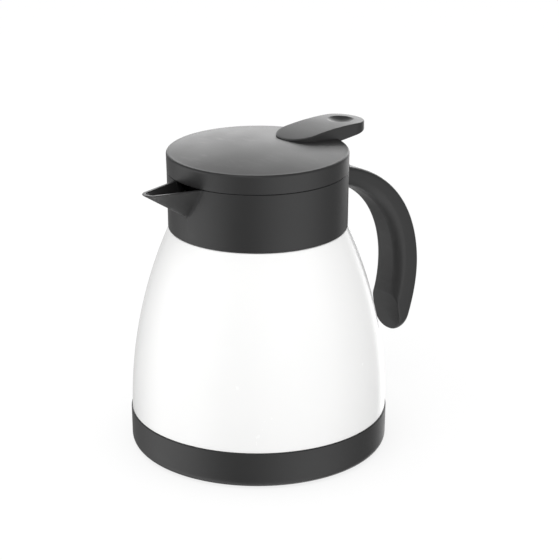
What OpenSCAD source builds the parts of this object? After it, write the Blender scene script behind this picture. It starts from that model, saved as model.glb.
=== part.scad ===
// Thermal carafe with a flip lid, in millimetres.
// Origin at the centre of the underside, +Z up, spout towards -X, handle towards +X.

/* [Body] */
// Radius of the black base ring at its top edge
base_r = 66; // [64.5:0.5:67.5]
// Height of the base ring
base_h = 19.4; // [18:0.2:21]
// Radius of the arc that draws the body in towards the neck
wall_arc_r = 236; // [234:1:240]
// Height at which the body meets the collar
collar_z = 115.9; // [115:0.1:116.5]
// Gap between outer shell and inner flask in the body
jacket_gap = 5; // [3.5:0.5:6]

/* [Collar and spout] */
// Radius of the collar half way up
collar_r = 45.35; // [45.2:0.05:45.6]
// Height of the collar's top edge
collar_top = 145.3; // [145:0.1:145.8]
// Width of the spout where its rim meets the collar
spout_w = 21.6; // [17:0.1:23]
// Distance of the spout's tip from the body's axis
spout_reach = 70.7; // [66:0.1:74]
// Height of the spout's keel where it meets the collar
spout_root_z = 129; // [128.5:0.5:132]

/* [Lid] */
// Height of the lid's rim
lid_rim_z = 155; // [154.5:0.1:155.5]
// Rise of the dome above the rim
dome_h = 2.6; // [2.3:0.1:3.2]
// Radius of the flask's mouth
mouth_r = 35; // [34.5:0.1:35.2]

/* [Thumb lever] */
// Width of the lever, which has full round ends
lever_w = 24; // [22:0.5:26]
// Centre of the round end on the lid
lever_nose_x = 27.6; // [25:0.1:30]
// Centre of the round end over the handle
lever_tail_x = 55.8; // [54:0.1:57]
// Highest point of the lever
lever_top_z = 161; // [160.5:0.1:162]
// Radius of the round thumb dish
dish_r = 6.9; // [5:0.1:8]
// Depth of the thumb dish
dish_depth = 1.6; // [1:0.1:2]

/* [Handle] */
// Width of the handle
handle_w = 20; // [18:0.5:21]
// Wall of the hollow handle
handle_wall = 2.4; // [2:0.1:2.6]

/* [Hinge] */
// Distance of the hinge pin from the body's axis
hinge_x = 48.5; // [48.4:0.1:49]
// Height of the hinge pin
hinge_z = 139.5; // [139.3:0.1:140]
// Radius of the hinge pin
pin_r = 1.2; // [1:0.1:1.4]

/* [Hidden] */

$fn = 96;
over = 1;                                // how far a cutter runs past a face

// Base cup and foot
base_lip = 0.6;                          // the ring stands this proud of the body
cup_wall = 2.2;
cup_rise = 0.4;                          // the foot pad lifts the cup this far
cup_floor_top = 2.8;
cup_edge_r = 4.3;                        // rounding of the ring's lower edge
cup_brim = 0.6;                          // rounding of its upper edge, which ends at the shell
cup_draft = 0.2;
foot_r = 57;
foot_h = 1.8;

// Steel shell, flask and jacket
shell_t = 0.6;
flask_t = 0.5;
body_r = base_r - base_lip;
tuck_base_r = base_r - cup_wall;         // the shell stands inside the cup with this radius
shell_bottom_z = 4.2;
ledge_z = base_h + 0.1;
tuck_top_r = collar_r - 2.75;            // the shell steps in to this radius under the collar
shoulder_z = 117.5;
shoulder_h = 7;
neck_r = 37;
mouth_z = 133.5;
rim_t = 0.5;
flask_neck_r = mouth_r + flask_t;
flask_shoulder_z = 112;
flask_shoulder_h = 10;
flask_floor_z = 13;
flask_floor_rise = 1.5;
flask_corner_z = 26;
flask_corner_r = 46;
arc_steps = 24;
corner_steps = 8;
bottom_z = 7;
tip_off_r = 5;
getter_x = 25;
getter_r = 5;
getter_h = 2;

// Collar
collar_wall = 2.4;
collar_draft = 0.12;                     // the collar is this much wider at its top edge
collar_in_r = collar_r - collar_wall;
collar_edge = 0.5;
floor_z = 129;                           // underside of the collar's inner floor
floor_top = 131.5;
floor_in_r = 37.3;
ring_out_r = 40.3;                       // ring nut
ring_top = mouth_z - rim_t;
ring_notch_w = 4;
ring_notches = 6;
neck_seal_r = 39.3;
neck_seal_z = 124.8;

// Spout
spout_wall = 1.9;
spout_keel = 2.2;                        // thickness under the channel at the collar, measured upwards
spout_keel_tip = 1.4;                    // the same at the tip
spout_tip_drop = 0.5;                    // depth of the beak at its very tip
spout_step = 0.05;                       // the rim starts this far below the collar's top edge
spout_rise = 0.35;                       // the rim climbs this much towards the tip
spout_nose_r = 5;
spout_bluntness = 0.35;                  // rounding of the keel, 0 is a sharp V
spout_steps = 10;
spout_sides = 14;

// Hinge
ear_in_y = 6.1;
ear_out_y = 12;
ear_r = 3;
block_z = 134;
block_top = 136.2;
knuckle_y = 5.8;
knuckle_r = 2.6;
pin_play = 0.05;
lug_in_x = 46;
lug_out_x = 51.1;

// Lid
lid_gap = 0.3;                           // parting line between lid and collar
lid_r = collar_r + 0.35;
lid_draft = 0.2;
lid_edge_r = 1;
lid_wall = 2;
plate_z = 146;
plate_t = 2;
plate_r = 43.2;
plug_r = 32.6;
plug_wall = 2;
plug_z = 131.8;
plug_floor_t = 1.6;
seal_r = 37.6;
seal_clear = 0.1;
seal_h = 2.6;
seal_flange_r = 37.2;
seal_flange_t = 1.8;
foam_r = 29.5;
foam_top = 151.5;
lid_screw_ring = 39.5;
lid_screw_angles = [60, 180, 300];
boss_r = 3.2;

// Thumb lever
lever_arc_r = 180;                       // radius of the lever's crowned top, seen from the side
lever_crown_x = 50;
lever_under = [[10, 148], [42, 153.2], [lever_tail_x + lever_w, 157.3]];
lever_screw_x = 36;
lever_screw_y = 6.5;

// Fasteners
small_r = 1.25;                          // shank of the lid's screws
small_head_r = 2.4;
small_head_t = 1.8;
large_r = 1.5;                           // shank of the handle's screws
large_head_r = 2.6;
large_head_t = 1.8;
handle_screw_z = 130.2;
handle_screw_y = 5.2;
handle_screw_tip = 57;
screw_seat_x = 42.6;
pocket_x = 40.8;
pocket_y = 8.2;
pocket_bottom = 127.4;
pocket_wall = 1.3;

// Handle: two curves in the XZ plane, each a cubic through four control points
outer_curve = [[46, 139.6], [94.1, 130.6], [119.8, 90.3], [96, 30.2]];
inner_curve = [[45.5, 128.2], [84.2, 121.6], [95.8, 87.5], [88.9, 58.7]];
end_tuck = [-3.4, 5.8];                  // the outer curve turns in by this much at the free end
tuck_from = 0.93;
handle_steps = 26;
handle_corner = 2.4;                     // radius of the section's outer corners
handle_inner_corner = 6;                 // radius of the corners that face the body
handle_end_corner = 9.6;                 // outer corners grow to this at the free end
end_blend = 0.69;                        // where along the handle they start to grow
section_corner_steps = 4;
cover_y = 4.8;
cover_from = 0.2;
cover_to = 0.93;
cavity_from = 0.24;
cavity_to = 0.9;
root_x = 52.1;                           // the handle passes under the hinge block up to here
root_top = 133.8;

// Radius of the painted body at height z
function body_wall(z) = body_r - wall_arc_r + sqrt(pow(wall_arc_r, 2) - pow(z - ledge_z, 2));
function flask_wall(z) = body_wall(z) - shell_t - jacket_gap;
function lerp(a, b, t) = a + (b - a) * t;
// Point at u on a cubic with control points c
function cubic(c, u) = pow(1 - u, 3) * c[0] + 3 * pow(1 - u, 2) * u * c[1]
                     + 3 * (1 - u) * u * u * c[2] + pow(u, 3) * c[3];
function reversed(p) = [for (i = [len(p) - 1:-1:0]) p[i]];
// Quarter of an ellipse from (r0 + a, z0) to (r0, z0 + b)
function quarter(r0, z0, a, b, n) = [for (i = [0:n]) [r0 + a * cos(90 * i / n), z0 + b * sin(90 * i / n)]];

// Closed solid through a list of rings, each a list of the same number of points
module loft(rings) {
    n = len(rings[0]);
    m = len(rings);
    points = [for (ring = rings) each ring];
    sides = [for (i = [0:m - 2], j = [0:n - 1])
        each [[i * n + j, i * n + (j + 1) % n, (i + 1) * n + j],
              [i * n + (j + 1) % n, (i + 1) * n + (j + 1) % n, (i + 1) * n + j]]];
    caps = [[for (j = [n - 1:-1:0]) j], [for (j = [0:n - 1]) (m - 1) * n + j]];
    polyhedron(points, concat(sides, caps), convexity = 6);
}

// Flat plate standing in the XZ plane, half_w to each side of it
module slab(outline, half_w) {
    rotate([90, 0, 0])
        translate([0, 0, -half_w])
            linear_extrude(2 * half_w)
                polygon(outline);
}

module along_y(r, y0, y1) {
    translate([hinge_x, y0, hinge_z])
        rotate([-90, 0, 0])
            cylinder(r = r, h = y1 - y0);
}

// Body

function shell_line(t) = concat(
    [[tuck_base_r - t, shell_bottom_z],
     [tuck_base_r - t, ledge_z + t],
     [body_r - t, ledge_z + t]],
    [for (i = [1:arc_steps]) let (z = lerp(ledge_z, collar_z - 0.2, i / arc_steps))
        [body_wall(z) - t, z - (i == arc_steps ? t : 0)]],
    [[tuck_top_r - t, collar_z - 0.2 - t]],
    [for (p = quarter(neck_r, shoulder_z, tuck_top_r - neck_r, shoulder_h, corner_steps)) [p[0] - t, p[1] - t]],
    [[neck_r - t, ring_top]]);

module outer_shell() {
    color("white")
        rotate_extrude()
            polygon(concat(shell_line(0), reversed(shell_line(shell_t))));
}

module outer_bottom() {
    rim_r = tuck_base_r - shell_t;
    color("silver")
        rotate_extrude()
            polygon([[0, bottom_z - 0.8], [tip_off_r, bottom_z - 0.8], [tip_off_r + 1, bottom_z],
                     [rim_r - shell_t, bottom_z], [rim_r - shell_t, shell_bottom_z],
                     [rim_r, shell_bottom_z], [rim_r, bottom_z + shell_t], [0, bottom_z + shell_t]]);
}

// Inner flask: a drawn floor, a wall and a neck with its turned-out rim, welded edge to edge

function floor_line(t) = concat(
    [[0, flask_floor_z + flask_floor_rise + t]],
    reversed(quarter(flask_corner_r, flask_corner_z, flask_wall(flask_corner_z) - flask_corner_r - t,
                     flask_floor_z - flask_corner_z + t, corner_steps)));
function wall_line(t) = [for (i = [0:arc_steps])
    let (z = lerp(flask_corner_z, flask_shoulder_z, i / arc_steps)) [flask_wall(z) - t, z]];
function neck_line(t) = quarter(flask_neck_r - t, flask_shoulder_z, flask_wall(flask_shoulder_z) - flask_neck_r,
                                flask_shoulder_h, corner_steps);

module flask_floor() {
    color("silver")
        rotate_extrude()
            polygon(concat(floor_line(0), reversed(floor_line(flask_t))));
}

module flask_wall() {
    color("silver")
        rotate_extrude()
            polygon(concat(wall_line(0), reversed(wall_line(flask_t))));
}

module flask_neck() {
    color("silver")
        rotate_extrude()
            polygon(concat(neck_line(0), [[flask_neck_r, ring_top], [neck_r, ring_top], [neck_r, mouth_z],
                                          [mouth_r, mouth_z]],
                           reversed(neck_line(flask_t))));
}

module getter() {
    color("gray")
        translate([getter_x, 0, bottom_z + shell_t])
            cylinder(r = getter_r, h = getter_h);
}

module base_cup() {
    foot_edge_r = base_r - cup_draft - cup_edge_r;
    color("#2b2b2d")
        difference() {
            rotate_extrude()
                polygon(concat(
                    [[0, cup_rise]],
                    [for (i = [0:corner_steps]) let (a = 90 * i / corner_steps)
                        [foot_edge_r + cup_edge_r * sin(a), cup_rise + cup_edge_r * (1 - cos(a))]],
                    [[base_r, base_h - cup_brim], [base_r - 0.16 * cup_brim, base_h - 0.45 * cup_brim],
                     [base_r - 0.45 * cup_brim, base_h - 0.16 * cup_brim], [base_r - cup_brim, base_h],
                     [tuck_base_r, base_h],
                     [tuck_base_r, cup_floor_top], [0, cup_floor_top]]));
            translate([0, 0, -over]) cylinder(r = foot_r, h = over + foot_h);
        }
}

module foot_pad() {
    color("#1c1c1e")
        cylinder(r = foot_r, h = foot_h);
}

// Spout: the plan is a V whose sides touch a round nose, and each section is a V with a round keel

nose_x = spout_reach - spout_nose_r;
spout_lean = atan2(spout_w / 2, nose_x - collar_r)
           - asin(spout_nose_r / norm([nose_x - collar_r, spout_w / 2]));
function touch_x(inset) = nose_x + (spout_nose_r - inset) * sin(spout_lean);
function spout_half(x, inset) =
    x < touch_x(inset) ? spout_w / 2 - (x - collar_r) * tan(spout_lean) - inset / cos(spout_lean)
                       : sqrt(max(0.01, pow(spout_nose_r - inset, 2) - pow(x - nose_x, 2)));
function spout_share(x) = (x - collar_r) / (spout_reach - collar_r);
function spout_rim(x) = collar_top - spout_step + spout_rise * spout_share(x);
function spout_keel_z(x) = lerp(spout_root_z, spout_rim(spout_reach) - spout_tip_drop, spout_share(x));
function spout_under(x) = lerp(spout_keel, spout_keel_tip, spout_share(x));
function blunt(q) = (sqrt(q * q + pow(spout_bluntness, 2)) - spout_bluntness)
                  / (sqrt(1 + pow(spout_bluntness, 2)) - spout_bluntness);
// Ring of points across the spout at distance x, lifted by lift and closed at height top
function spout_ring(x, inset, lift, top) = let (w = spout_half(x, inset), high = spout_rim(x),
                                                low = min(spout_keel_z(x) + lift, high - 0.1))
    concat([for (i = [0:spout_sides]) let (q = 2 * i / spout_sides - 1)
               [-x, w * q, lerp(low, high, blunt(q))]],
           top > 0 ? [[-x, w, high + top], [-x, -w, high + top]] : []);
function spout_stations(from, inset) = concat(
    [for (i = [0:spout_steps - 1]) lerp(from, touch_x(inset), i / spout_steps)],
    [for (i = [0:6]) nose_x + (spout_nose_r - inset) * sin(lerp(spout_lean, 84, i / 6))]);

module spout_solid() {
    loft([for (x = spout_stations(collar_r - 2, 0)) spout_ring(x, 0, 0, 0)]);
}

module spout_channel() {
    loft([for (x = spout_stations(collar_in_r - 4, spout_wall)) spout_ring(x, spout_wall, spout_under(x), 4)]);
}

// Collar

module collar_shell() {
    rotate_extrude()
        polygon([[collar_in_r, collar_z], [collar_r - collar_draft - collar_edge, collar_z],
                 [collar_r - collar_draft, collar_z + collar_edge], [collar_r + collar_draft, collar_top - 0.2],
                 [collar_r + collar_draft - 0.2, collar_top], [collar_in_r, collar_top],
                 [collar_in_r, floor_top], [floor_in_r, floor_top], [floor_in_r, floor_z], [collar_in_r, floor_z]]);
}

// Two ears on a block behind the collar, with the slot for the lid's knuckle between them
module hinge_block() {
    for (side = [-1, 1])
        along_y(ear_r, side > 0 ? ear_in_y : -ear_out_y, side > 0 ? ear_out_y : -ear_in_y);
    difference() {
        translate([collar_in_r + 0.5, -ear_out_y, block_z])
            cube([hinge_x + ear_r - collar_in_r - 0.5, 2 * ear_out_y, hinge_z - block_z]);
        translate([collar_r, -ear_in_y, block_top])
            cube([2 * ear_r + over + 3, 2 * ear_in_y, 4 * ear_r]);
    }
}

module screw_pocket() {
    translate([pocket_x, -pocket_y, pocket_bottom])
        cube([screw_seat_x - pocket_x, 2 * pocket_y, floor_top - pocket_bottom + 1.5]);
}

module collar() {
    color("#2b2b2d")
        difference() {
            union() {
                collar_shell();
                spout_solid();
                hinge_block();
                intersection() {
                    translate([pocket_x - pocket_wall, -pocket_y - pocket_wall, pocket_bottom - pocket_wall])
                        cube([5, 2 * (pocket_y + pocket_wall), floor_top - pocket_bottom + pocket_wall]);
                    cylinder(r = collar_r - 0.5, h = collar_top);
                }
            }
            spout_channel();
            screw_pocket();
            along_y(pin_r, -ear_out_y - over, ear_out_y + over);
            handle_screw_bores();
        }
}

module handle_screw_bores() {
    for (y = [-handle_screw_y, handle_screw_y])
        translate([pocket_x, y, handle_screw_z])
            rotate([0, 90, 0])
                cylinder(r = large_r, h = handle_screw_tip - pocket_x);
}

module neck_ring() {
    color("#3a3a3c")
        difference() {
            rotate_extrude()
                polygon([[neck_r + 0.05, floor_top], [ring_out_r, floor_top],
                         [ring_out_r, ring_top - 0.5], [ring_out_r - 0.5, ring_top], [neck_r + 0.05, ring_top]]);
            for (i = [0:ring_notches - 1])
                rotate(30 + i * 360 / ring_notches)
                    translate([ring_out_r - 1.2, -ring_notch_w / 2, floor_top + 0.5])
                        cube([3, ring_notch_w, 3]);
        }
}

module neck_seal() {
    color("#d8d8d4")
        difference() {
            translate([0, 0, neck_seal_z]) cylinder(r = neck_seal_r, h = floor_z - neck_seal_z);
            translate([0, 0, neck_seal_z - over]) cylinder(r = neck_r, h = 2 * over + floor_z - neck_seal_z);
        }
}

// Handle: a loft between the inner and the outer curve, with a rounded section

// Rounded rectangle, half_a along the first axis and half_y along the second,
// with corner radius r_in on the negative side of a and r_out on the positive side
function rounded(half_a, half_y, r_in, r_out) = [for (k = [0:3], i = [0:section_corner_steps])
    let (r = (k == 0 || k == 3) ? r_out : r_in,
         angle = 90 * k + 90 * i / section_corner_steps,
         sa = (k == 0 || k == 3) ? 1 : -1,
         sy = (k == 0 || k == 1) ? 1 : -1,
         ra = min(r, half_a))
        [sa * (half_a - ra) + ra * cos(angle), sy * (half_y - r) + r * sin(angle)]];

function outer_point(u) = cubic(outer_curve, u) + end_tuck * pow(max(0, (u - tuck_from) / (1 - tuck_from)), 2);

// Ring of the handle at u: a0 and a1 are insets from the inner and outer curve
function handle_ring(u, a0, a1, half_y, r_in, r_out) = let (
        pi = cubic(inner_curve, u),
        po = outer_point(u),
        d = (po - pi) / norm(po - pi),
        low = pi + a0 * d,
        high = po - a1 * d,
        mid = (low + high) / 2,
        half_a = norm(high - low) / 2)
    [for (p = rounded(half_a, half_y, r_in, r_out)) [mid[0] + p[0] * d[0], p[1], mid[1] + p[0] * d[1]]];

function end_corner(u) = lerp(handle_corner, handle_end_corner, pow(max(0, (u - end_blend) / (1 - end_blend)), 2));

module handle_body() {
    loft([for (i = [0:handle_steps]) let (u = lerp(-0.02, 1, i / handle_steps))
        handle_ring(u, 0, 0, handle_w / 2, handle_inner_corner, end_corner(u))]);
}

// Hollow of the grip, open towards the body so that the cover closes it
module handle_hollow() {
    loft([for (i = [0:handle_steps]) let (u = lerp(cavity_from, cavity_to, i / handle_steps))
        handle_ring(u, handle_wall - 0.2, handle_wall, cover_y - 0.6, 0.8, 0.8)]);
}

// Strip along the inner curve; depth is its thickness and sink how far it lies below the surface
module cover_strip(depth, sink, half_y, from, to) {
    loft([for (i = [0:handle_steps]) let (
            u = lerp(from, to, i / handle_steps),
            thick = norm(outer_point(u) - cubic(inner_curve, u)))
        handle_ring(u, sink, thick - depth, half_y, 0.3, 0.3)]);
}

module handle_grip() {
    color("#2b2b2d")
        difference() {
            handle_body();
            cylinder(r = collar_r + collar_draft, h = collar_top + over);
            translate([collar_in_r, -handle_w, root_top])
                cube([root_x - collar_in_r, 2 * handle_w, 20]);
            handle_hollow();
            cover_strip(handle_wall, -over, cover_y, cover_from, cover_to);
            handle_screw_bores();
        }
}

module handle_cover() {
    color("#303032")
        cover_strip(handle_wall - 0.1, 0.15, cover_y - 0.1, cover_from + 0.002, cover_to - 0.002);
}

module handle_screws() {
    color("silver")
        for (y = [-handle_screw_y, handle_screw_y])
            translate([screw_seat_x - large_head_t, y, handle_screw_z])
                rotate([0, 90, 0]) {
                    cylinder(r = large_head_r, h = large_head_t);
                    cylinder(r = large_r, h = handle_screw_tip - screw_seat_x + large_head_t);
                }
}

// Hinge and lid

module hinge_pin() {
    color("silver")
        along_y(pin_r, -ear_out_y, ear_out_y);
}

// Height of the lid's dome at radius r, on top of base height z
function dome(z, r) = z + dome_h * (1 - pow(r / (lid_r - lid_edge_r), 2));

function lid_outline() = let (edge_x = lid_r - lid_edge_r) concat(
    [for (i = [0:12]) [edge_x * i / 12, dome(lid_rim_z, edge_x * i / 12)]],
    [for (i = [1:corner_steps]) let (a = 90 * i / corner_steps)
        [edge_x + lid_edge_r * sin(a), lid_rim_z - lid_edge_r * (1 - cos(a))]],
    [[lid_r - lid_draft, collar_top + lid_gap]]);

module lid_cap() {
    in_r = lid_r - lid_draft - lid_wall;
    color("#2b2b2d")
        difference() {
            union() {
                rotate_extrude()
                    polygon(concat(lid_outline(), [[in_r, collar_top + lid_gap], [in_r, lid_rim_z - lid_wall]],
                                   [for (i = [11:-1:0]) [in_r * i / 12, dome(lid_rim_z - lid_wall, in_r * i / 12)]]));
                for (a = lid_screw_angles)
                    rotate(a)
                        translate([lid_screw_ring, 0, plate_z + plate_t])
                            cylinder(r = boss_r, h = lid_rim_z - lid_wall - plate_z - plate_t + 0.5);
                along_y(knuckle_r, -knuckle_y, knuckle_y);
                slab([[lug_in_x, hinge_z], [lug_out_x, hinge_z], [lug_out_x, 147.5], [46.5, 152.3], [44.6, 152.3],
                      [44.6, collar_top + 2 * lid_gap], [lug_in_x, collar_top + 2 * lid_gap]], knuckle_y);
            }
            along_y(pin_r + pin_play, -ear_out_y, ear_out_y);
            lid_screw_bores();
            lever_screw_bores();
        }
}

module lid_screw_bores() {
    for (a = lid_screw_angles)
        rotate(a)
            translate([lid_screw_ring, 0, plate_z - over])
                cylinder(r = small_r, h = 7);
}

module lever_screw_bores() {
    for (y = [-lever_screw_y, lever_screw_y])
        translate([lever_screw_x, y, lid_rim_z - lid_wall])
            cylinder(r = small_r, h = 5.5);
}

module thumb_lever() {
    dish_sphere_r = (pow(dish_r, 2) + pow(dish_depth, 2)) / (2 * dish_depth);
    top_at_dish = lever_top_z - pow(lever_tail_x - lever_crown_x, 2) / (2 * lever_arc_r);
    color("#2f2f31")
        difference() {
            intersection() {
                translate([0, 0, lid_rim_z - 4])
                    linear_extrude(20) {
                        translate([lever_nose_x, 0]) circle(d = lever_w);
                        translate([lever_tail_x, 0]) circle(d = lever_w);
                        translate([lever_nose_x, -lever_w / 2]) square([lever_tail_x - lever_nose_x, lever_w]);
                    }
                rotate([90, 0, 0])
                    translate([0, 0, -lever_w])
                        linear_extrude(2 * lever_w)
                            intersection() {
                                translate([lever_crown_x, lever_top_z - lever_arc_r])
                                    circle(r = lever_arc_r, $fn = 360);
                                polygon(concat(lever_under, [[lever_tail_x + lever_w, lever_top_z + over],
                                                             [10, lever_top_z + over]]));
                            }
            }
            rotate_extrude()
                polygon(concat(lid_outline(), [[0, collar_top + lid_gap]]));
            translate([lever_tail_x, 0, top_at_dish - dish_depth + dish_sphere_r])
                sphere(r = dish_sphere_r);
            lever_screw_bores();
        }
}

module lever_screws() {
    color("silver")
        for (y = [-lever_screw_y, lever_screw_y])
            translate([lever_screw_x, y, 0]) {
                translate([0, 0, lid_rim_z - lid_wall - small_head_t]) cylinder(r = small_head_r, h = small_head_t);
                translate([0, 0, lid_rim_z - lid_wall - small_head_t]) cylinder(r = small_r, h = 7);
            }
}

module lid_base() {
    seal_top = mouth_z + seal_clear + seal_h;
    color("#3a3a3c")
        difference() {
            rotate_extrude()
                polygon([[0, plug_z], [plug_r - 1, plug_z], [plug_r, plug_z + 1], [plug_r, seal_top],
                         [seal_flange_r, seal_top], [seal_flange_r, seal_top + seal_flange_t],
                         [plug_r, seal_top + seal_flange_t], [plug_r, plate_z], [plate_r, plate_z],
                         [plate_r, plate_z + plate_t], [plug_r - plug_wall, plate_z + plate_t],
                         [plug_r - plug_wall, plug_z + plug_floor_t], [0, plug_z + plug_floor_t]]);
            lid_screw_bores();
        }
}

module lid_insulation() {
    color("#e8e4da")
        translate([0, 0, plug_z + plug_floor_t])
            cylinder(r = foam_r, h = foam_top - plug_z - plug_floor_t);
}

module lid_seal() {
    color("#d8d8d4")
        difference() {
            translate([0, 0, mouth_z + seal_clear]) cylinder(r = seal_r, h = seal_h);
            translate([0, 0, mouth_z]) cylinder(r = plug_r, h = seal_h + over);
        }
}

module lid_screws() {
    color("silver")
        for (a = lid_screw_angles)
            rotate(a)
                translate([lid_screw_ring, 0, plate_z - small_head_t]) {
                    cylinder(r = small_head_r, h = small_head_t);
                    cylinder(r = small_r, h = 7);
                }
}

outer_shell();
outer_bottom();
flask_floor();
flask_wall();
flask_neck();
getter();
base_cup();
foot_pad();
collar();
neck_ring();
neck_seal();
handle_grip();
handle_cover();
handle_screws();
hinge_pin();
lid_cap();
thumb_lever();
lever_screws();
lid_base();
lid_insulation();
lid_seal();
lid_screws();
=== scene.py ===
import math

import bpy
import numpy as np
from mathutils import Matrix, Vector


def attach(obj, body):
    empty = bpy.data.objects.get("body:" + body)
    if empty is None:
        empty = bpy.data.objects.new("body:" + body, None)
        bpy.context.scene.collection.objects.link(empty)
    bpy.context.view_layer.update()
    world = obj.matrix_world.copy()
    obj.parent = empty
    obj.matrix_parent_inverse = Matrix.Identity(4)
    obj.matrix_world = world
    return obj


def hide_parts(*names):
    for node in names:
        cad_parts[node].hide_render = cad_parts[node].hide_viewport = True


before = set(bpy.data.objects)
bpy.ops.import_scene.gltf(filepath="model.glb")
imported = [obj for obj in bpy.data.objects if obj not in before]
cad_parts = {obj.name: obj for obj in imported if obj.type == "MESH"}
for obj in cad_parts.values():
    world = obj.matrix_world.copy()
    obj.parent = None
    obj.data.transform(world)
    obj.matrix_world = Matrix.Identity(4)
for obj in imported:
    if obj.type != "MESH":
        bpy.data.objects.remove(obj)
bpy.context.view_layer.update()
scene = bpy.context.scene
mm = 0.001                      # every length below is in millimetres, the meshes are in metres
print("frame loaded:", len(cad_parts), "nodes")


# Meshes

# Closed skin over a grid of rings. Quads join each ring to the next; the ends close on a pole,
# or the last ring joins the first. A negative enclosed volume turns all faces over.
def skin(grid, poles=None, loop=False):
    rows, cols = grid.shape[:2]
    points = grid.reshape(-1, 3)
    row = np.arange(rows if loop else rows - 1)[:, None]
    col = np.arange(cols)[None, :]
    after = ((row + 1) % rows) * cols
    beside = (col + 1) % cols
    quads = np.stack([row * cols + col, row * cols + beside, after + beside, after + col], -1).reshape(-1, 4)
    tris = np.zeros((0, 3), int)
    if not loop:
        first, last = poles if poles is not None else (grid[0].mean(0), grid[-1].mean(0))
        points = np.vstack([points, first, last])
        here = np.arange(cols)
        there = (here + 1) % cols
        end = (rows - 1) * cols
        tris = np.vstack([np.stack([there, here, np.full(cols, rows * cols)], -1),
                          np.stack([end + here, end + there, np.full(cols, rows * cols + 1)], -1)])
    return outward(points, quads, tris)


# Thick sheet between two grids of the same shape: both faces, and a strip of quads along each of the four edges.
def sheetBetween(upper, lower):
    rows, cols = upper.shape[:2]
    row = np.arange(rows - 1)[:, None]
    col = np.arange(cols - 1)[None, :]
    face = np.stack([row * cols + col, row * cols + col + 1, (row + 1) * cols + col + 1, (row + 1) * cols + col], -1)
    face = face.reshape(-1, 4)
    index = np.arange(rows * cols).reshape(rows, cols)
    edge = np.concatenate([index[0, :], index[1:, -1], index[-1, -2::-1], index[-2:0:-1, 0]])
    after = np.roll(edge, -1)
    strip = np.stack([after, edge, edge + rows * cols, after + rows * cols], -1)
    quads = np.vstack([face, face[:, ::-1] + rows * cols, strip])
    return outward(np.vstack([upper.reshape(-1, 3), lower.reshape(-1, 3)]), quads, np.zeros((0, 3), int))


def outward(points, quads, tris):
    corner = points[np.vstack([quads[:, :3], quads[:, [0, 2, 3]], tris])]
    volume = np.einsum("ij,ij->", corner[:, 0], np.cross(corner[:, 1], corner[:, 2]))
    return (points, quads, tris) if volume > 0 else (points, quads[:, ::-1], tris[:, ::-1])


# Solid of revolution: the line of (radius, height) points goes round the Z axis.
# A line that starts and ends on the axis closes on two poles, any other is a closed loop.
def turned(line, sides=200):
    angle = np.arange(sides) * 2 * np.pi / sides
    ring = np.stack([line[:, :1] * np.cos(angle), line[:, :1] * np.sin(angle), np.repeat(line[:, 1:], sides, 1)], -1)
    if line[0, 0] == 0:
        return skin(ring[1:-1], poles=(ring[0, 0], ring[-1, 0]))
    return skin(ring, loop=True)


# Polygon with round corners: a corner (a, b, radius) gives way to the arc of that radius that touches both sides.
def roundedLine(corners, steps=6, closed=False):
    c = np.array(corners, float)
    out = []
    for i, (a, b, radius) in enumerate(c):
        here = np.array([a, b])
        if radius == 0 or (not closed and i in (0, len(c) - 1)):
            out.append(here[None, :])
            continue
        back = c[i - 1, :2] - here
        on = c[(i + 1) % len(c), :2] - here
        back /= np.hypot(*back)
        on /= np.hypot(*on)
        half = np.arccos(np.clip(back @ on, -1, 1)) / 2
        middle = here + (back + on) / np.hypot(*(back + on)) * radius / np.sin(half)
        start = here + back * radius / np.tan(half) - middle
        end = here + on * radius / np.tan(half) - middle
        turn = np.pi - 2 * half
        t = np.linspace(0, 1, steps + 1)[:, None]
        out.append(middle + (np.sin((1 - t) * turn) * start + np.sin(t * turn) * end) / np.sin(turn))
    return supported(np.vstack(out))


# Points near both ends of every long side, so that smooth shading keeps flats flat.
def supported(line, near=0.35):
    step = np.diff(line, axis=0)
    length = np.hypot(step[:, 0], step[:, 1])
    long = np.where(length > 3 * near)[0]
    side = step[long] / length[long, None] * near
    added = np.stack([line[long] + side, line[long + 1] - side], 1).reshape(-1, 2)
    return np.insert(line, np.repeat(long + 1, 2), added, 0)


# Plate with an outline in the XZ plane from y0 to y1. Its edges are quarter circles:
# the outline moves in by edge * (1 - sin a) while y moves on by edge * (1 - cos a).
def roundedSlab(outline, y0, y1, edge):
    step = np.roll(outline, -1, 0) - np.roll(outline, 1, 0)
    normal = np.stack([step[:, 1], -step[:, 0]], -1) / np.hypot(step[:, 0], step[:, 1])[:, None]
    x, z = outline.T
    if np.sum(x * np.roll(z, -1) - z * np.roll(x, -1)) < 0:
        normal = -normal
    a = np.linspace(0, np.pi / 2, 6)
    inset = edge * (1 - np.sin(a))
    travel = edge * (1 - np.cos(a))
    inset = np.concatenate([inset, inset[::-1]])
    y = np.concatenate([y0 + travel, y1 - travel[::-1]])
    flat = outline[None] - inset[:, None, None] * normal[None]
    grid = np.stack([flat[..., 0], np.repeat(y[:, None], len(outline), 1), flat[..., 1]], -1)
    return skin(grid)


def makePiece(name, parts, material, body, replaced=(), crease=32):
    points = []
    faces = []
    start = 0
    for verts, quads, tris in parts:
        points.append(verts)
        faces += (quads + start).tolist() + (tris + start).tolist()
        start += len(verts)
    mesh = bpy.data.meshes.new(name)
    mesh.from_pydata((np.vstack(points) * mm).tolist(), [], faces)
    mesh.update()
    mesh.shade_smooth()
    mesh.set_sharp_from_angle(angle=math.radians(crease))
    mesh.materials.append(material)
    piece = bpy.data.objects.new(name, mesh)
    scene.collection.objects.link(piece)
    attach(piece, body)
    if replaced:
        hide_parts(*replaced)
    print("piece", name, len(faces), "faces")


# Shader node groups and materials

def addNode(tree, kind, **values):
    node = tree.nodes.new(kind)
    for key, value in values.items():
        if key in node.bl_rna.properties:
            setattr(node, key, value)
        else:
            node.inputs[key.replace("_", " ")].default_value = value
    return node


def wire(tree, source, output, target, socket):
    tree.links.new(source.outputs[output], target.inputs[socket])


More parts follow.
